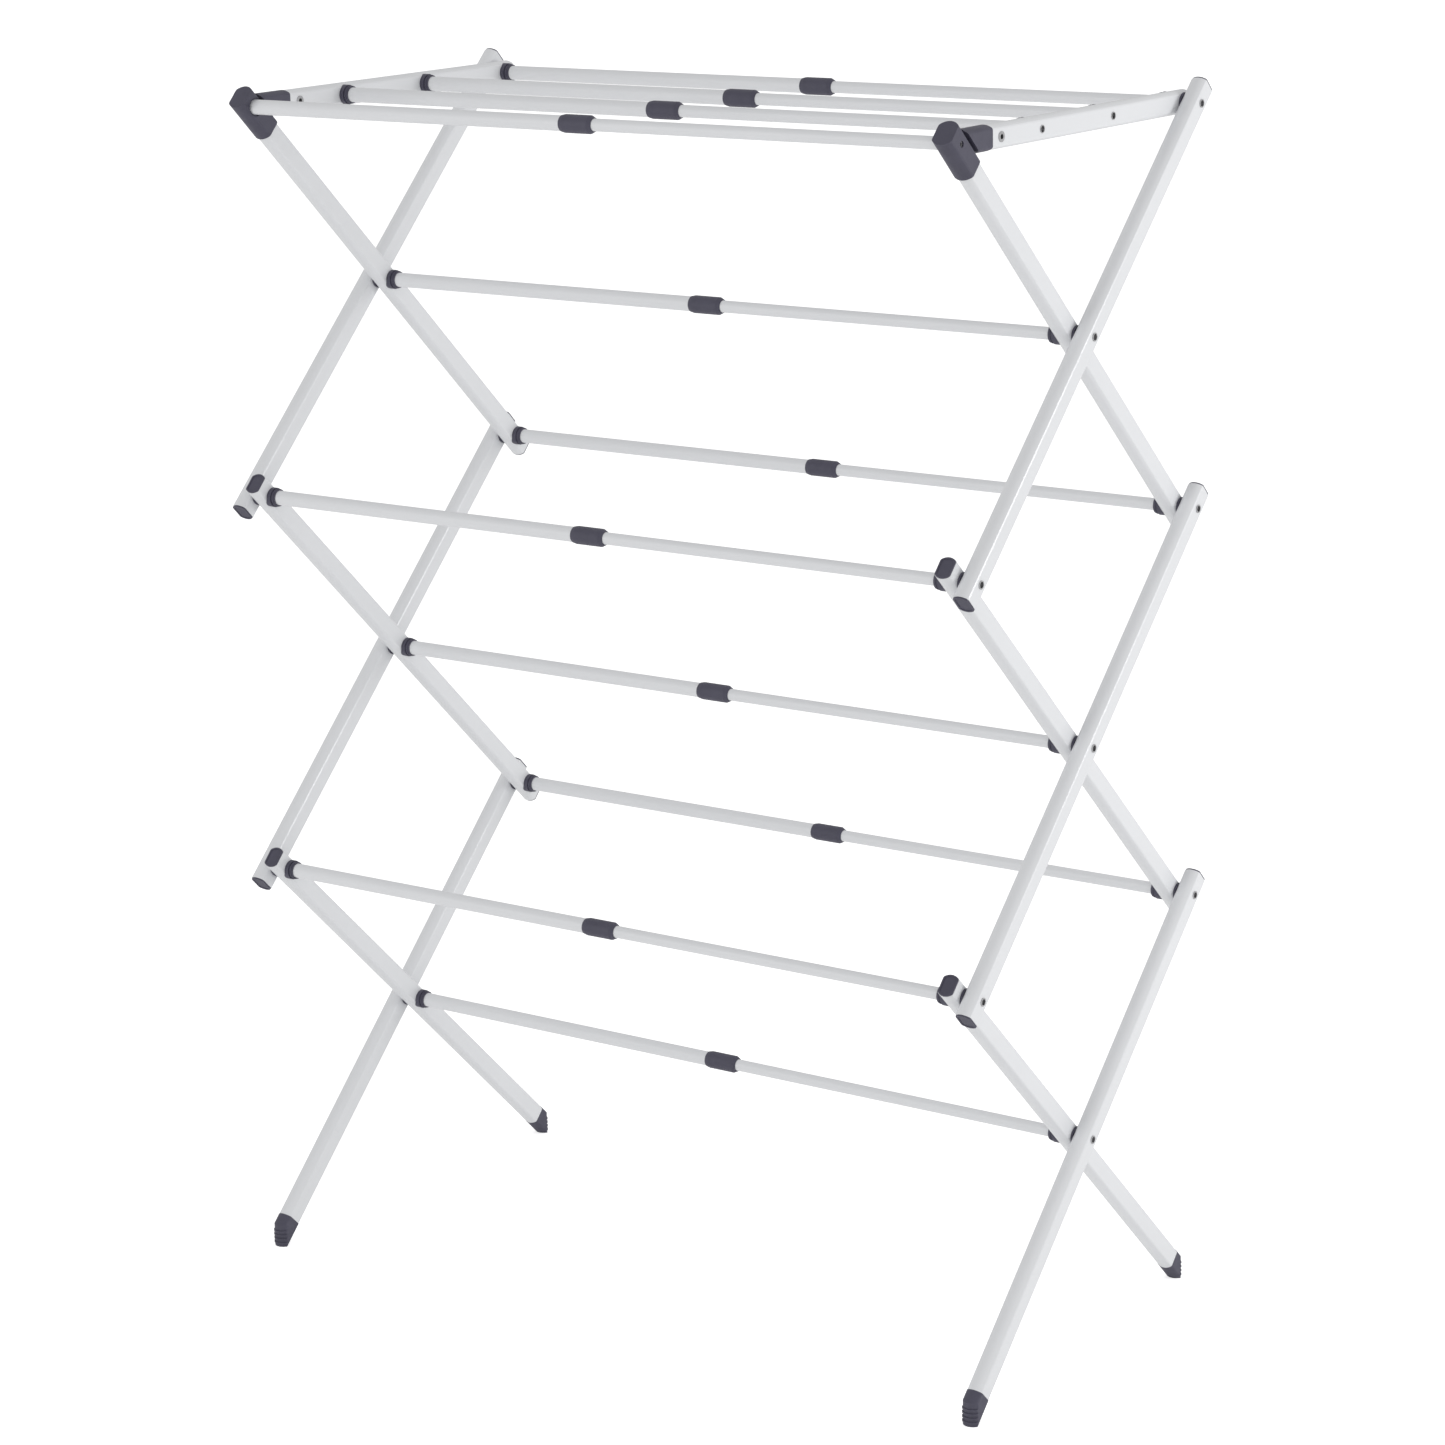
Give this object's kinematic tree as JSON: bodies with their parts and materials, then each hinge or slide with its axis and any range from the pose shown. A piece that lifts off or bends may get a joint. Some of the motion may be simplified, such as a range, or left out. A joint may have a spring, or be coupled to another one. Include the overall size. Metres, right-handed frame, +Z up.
{
  "type": "folding clothes drying rack",
  "caption": "Concertina clothes airer: scissor side frames of white flat-sided tube with dark plastic feet and caps, telescopic hanging rails, and lift-up top arms that latch it open.",
  "frame": {"origin": "on the floor, below the centre of the open rack", "axes": "+Z up, X along the hanging rails, -Y the front, where the top arms rest on the corner caps"},
  "size_m": [0.7564, 0.3884, 1.0559],
  "materials": {
    "white_paint": "smooth glossy white powder coat on thin steel tube",
    "dark_plastic": "matte moulded dark slate grey plastic",
    "steel": "plain steel screws and hollow rivets"
  },
  "bodies": {
    "bottom_inner_left": {"leg_bottom_inner_left": "white_paint", "foot_back_left": "dark_plastic", "rails_bottom_left": "white_paint", "couplings_bottom": "dark_plastic", "fittings_bottom_left": "dark_plastic", "screws_bottom_left": "steel"},
    "bottom_outer_left": {"leg_bottom_outer_left": "white_paint", "foot_front_left": "dark_plastic", "plug_bottom_left": "dark_plastic"},
    "middle_outer_left": {"leg_middle_outer_left": "white_paint", "plugs_middle_left": "dark_plastic"},
    "middle_inner_left": {"leg_middle_inner_left": "white_paint", "rails_middle_left": "white_paint", "couplings_middle": "dark_plastic", "fittings_middle_left": "dark_plastic", "screws_middle_left": "steel"},
    "top_outer_left": {"leg_top_outer_left": "white_paint", "plugs_top_left": "dark_plastic"},
    "top_inner_left": {"leg_top_inner_left": "white_paint", "corner_cap_left": "dark_plastic", "rails_top_left": "white_paint", "couplings_top": "dark_plastic", "fittings_top_left": "dark_plastic", "screws_top_left": "steel"},
    "back_rail_left": {"rail_back_left": "white_paint", "coupling_back": "dark_plastic"},
    "arm_left": {"arm_tube_left": "white_paint", "arm_head_left": "dark_plastic", "rails_arm_left": "white_paint", "couplings_arm": "dark_plastic", "fittings_arm_left": "dark_plastic", "screws_arm_left": "steel"},
    "bottom_inner_right": {"leg_bottom_inner_right": "white_paint", "foot_back_right": "dark_plastic", "rails_bottom_right": "white_paint", "fittings_bottom_right": "dark_plastic", "screws_bottom_right": "steel"},
    "bottom_outer_right": {"leg_bottom_outer_right": "white_paint", "foot_front_right": "dark_plastic", "plug_bottom_right": "dark_plastic"},
    "middle_outer_right": {"leg_middle_outer_right": "white_paint", "plugs_middle_right": "dark_plastic"},
    "middle_inner_right": {"leg_middle_inner_right": "white_paint", "rails_middle_right": "white_paint", "fittings_middle_right": "dark_plastic", "screws_middle_right": "steel"},
    "top_outer_right": {"leg_top_outer_right": "white_paint", "plugs_top_right": "dark_plastic"},
    "top_inner_right": {"leg_top_inner_right": "white_paint", "corner_cap_right": "dark_plastic", "rails_top_right": "white_paint", "fittings_top_right": "dark_plastic", "screws_top_right": "steel"},
    "back_rail_right": {"rail_back_right": "white_paint", "guide_back": "dark_plastic"},
    "arm_right": {"arm_tube_right": "white_paint", "arm_head_right": "dark_plastic", "rails_arm_right": "white_paint", "fittings_arm_right": "dark_plastic", "screws_arm_right": "steel"}
  },
  "joints": [
    {"name": "bottom_cross_left", "type": "hinge", "parent": "bottom_inner_left", "child": "bottom_outer_left", "pos_m": [0, 0, 0.19002], "axis": [-1, 0, 0], "range_deg": [0, 83.8]},
    {"name": "fold", "type": "hinge", "parent": "bottom_inner_left", "child": "middle_outer_left", "pos_m": [0, -0.1732, 0.35903], "axis": [-1, 0, 0], "range_deg": [0, 83.3]},
    {"name": "middle_cross_left", "type": "hinge", "parent": "middle_outer_left", "child": "middle_inner_left", "pos_m": [0, 0, 0.52805], "axis": [-1, 0, 0], "range_deg": [-83.8, 0]},
    {"name": "top_front_left", "type": "hinge", "parent": "middle_inner_left", "child": "top_outer_left", "pos_m": [0, -0.1732, 0.69707], "axis": [-1, 0, 0], "range_deg": [0, 83.8]},
    {"name": "top_cross_left", "type": "hinge", "parent": "top_outer_left", "child": "top_inner_left", "pos_m": [0, 0, 0.86608], "axis": [-1, 0, 0], "range_deg": [-83.8, 0]},
    {"name": "back_rail_turn_left", "type": "hinge", "parent": "top_outer_left", "child": "back_rail_left", "pos_m": [0, 0.1732, 1.0351], "axis": [-1, 0, 0], "range_deg": [-39.57, 0]},
    {"name": "arm_lift", "type": "hinge", "parent": "back_rail_left", "child": "arm_left", "pos_m": [0, 0.1732, 1.0351], "axis": [-1, 0, 0], "range_deg": [0, 90]},
    {"name": "bottom_cross_right", "type": "hinge", "parent": "bottom_inner_right", "child": "bottom_outer_right", "pos_m": [0, 0, 0.19002], "axis": [-1, 0, 0], "range_deg": [0, 83.8]},
    {"name": "middle_front_right", "type": "hinge", "parent": "bottom_inner_right", "child": "middle_outer_right", "pos_m": [0, -0.1732, 0.35903], "axis": [-1, 0, 0], "range_deg": [0, 83.8]},
    {"name": "middle_cross_right", "type": "hinge", "parent": "middle_outer_right", "child": "middle_inner_right", "pos_m": [0, 0, 0.52805], "axis": [-1, 0, 0], "range_deg": [-83.8, 0]},
    {"name": "top_front_right", "type": "hinge", "parent": "middle_inner_right", "child": "top_outer_right", "pos_m": [0, -0.1732, 0.69707], "axis": [-1, 0, 0], "range_deg": [0, 83.8]},
    {"name": "top_cross_right", "type": "hinge", "parent": "top_outer_right", "child": "top_inner_right", "pos_m": [0, 0, 0.86608], "axis": [-1, 0, 0], "range_deg": [-83.8, 0]},
    {"name": "back_rail_turn_right", "type": "hinge", "parent": "top_outer_right", "child": "back_rail_right", "pos_m": [0, 0.1732, 1.0351], "axis": [-1, 0, 0], "range_deg": [-39.57, 0]},
    {"name": "arm_lift_right", "type": "hinge", "parent": "back_rail_right", "child": "arm_right", "pos_m": [0, 0.1732, 1.0351], "axis": [-1, 0, 0], "range_deg": [0, 90.5]},
    {"name": "width_slide", "type": "slide", "parent": "bottom_inner_left", "child": "bottom_inner_right", "axis": [-1, 0, 0], "range_m": [0, 0.285]}
  ],
  "couplings": [
    {"joint": "bottom_cross_left", "follows": "fold", "ratio": 1},
    {"joint": "middle_cross_left", "follows": "fold", "ratio": -1},
    {"joint": "top_front_left", "follows": "fold", "ratio": 1},
    {"joint": "top_cross_left", "follows": "fold", "ratio": -1},
    {"joint": "back_rail_turn_left", "follows": "fold", "ratio": -0.469},
    {"joint": "bottom_cross_right", "follows": "fold", "ratio": 1},
    {"joint": "middle_front_right", "follows": "fold", "ratio": 1},
    {"joint": "middle_cross_right", "follows": "fold", "ratio": -1},
    {"joint": "top_front_right", "follows": "fold", "ratio": 1},
    {"joint": "top_cross_right", "follows": "fold", "ratio": -1},
    {"joint": "back_rail_turn_right", "follows": "fold", "ratio": -0.469},
    {"joint": "arm_lift_right", "follows": "arm_lift", "ratio": 1}
  ]
}
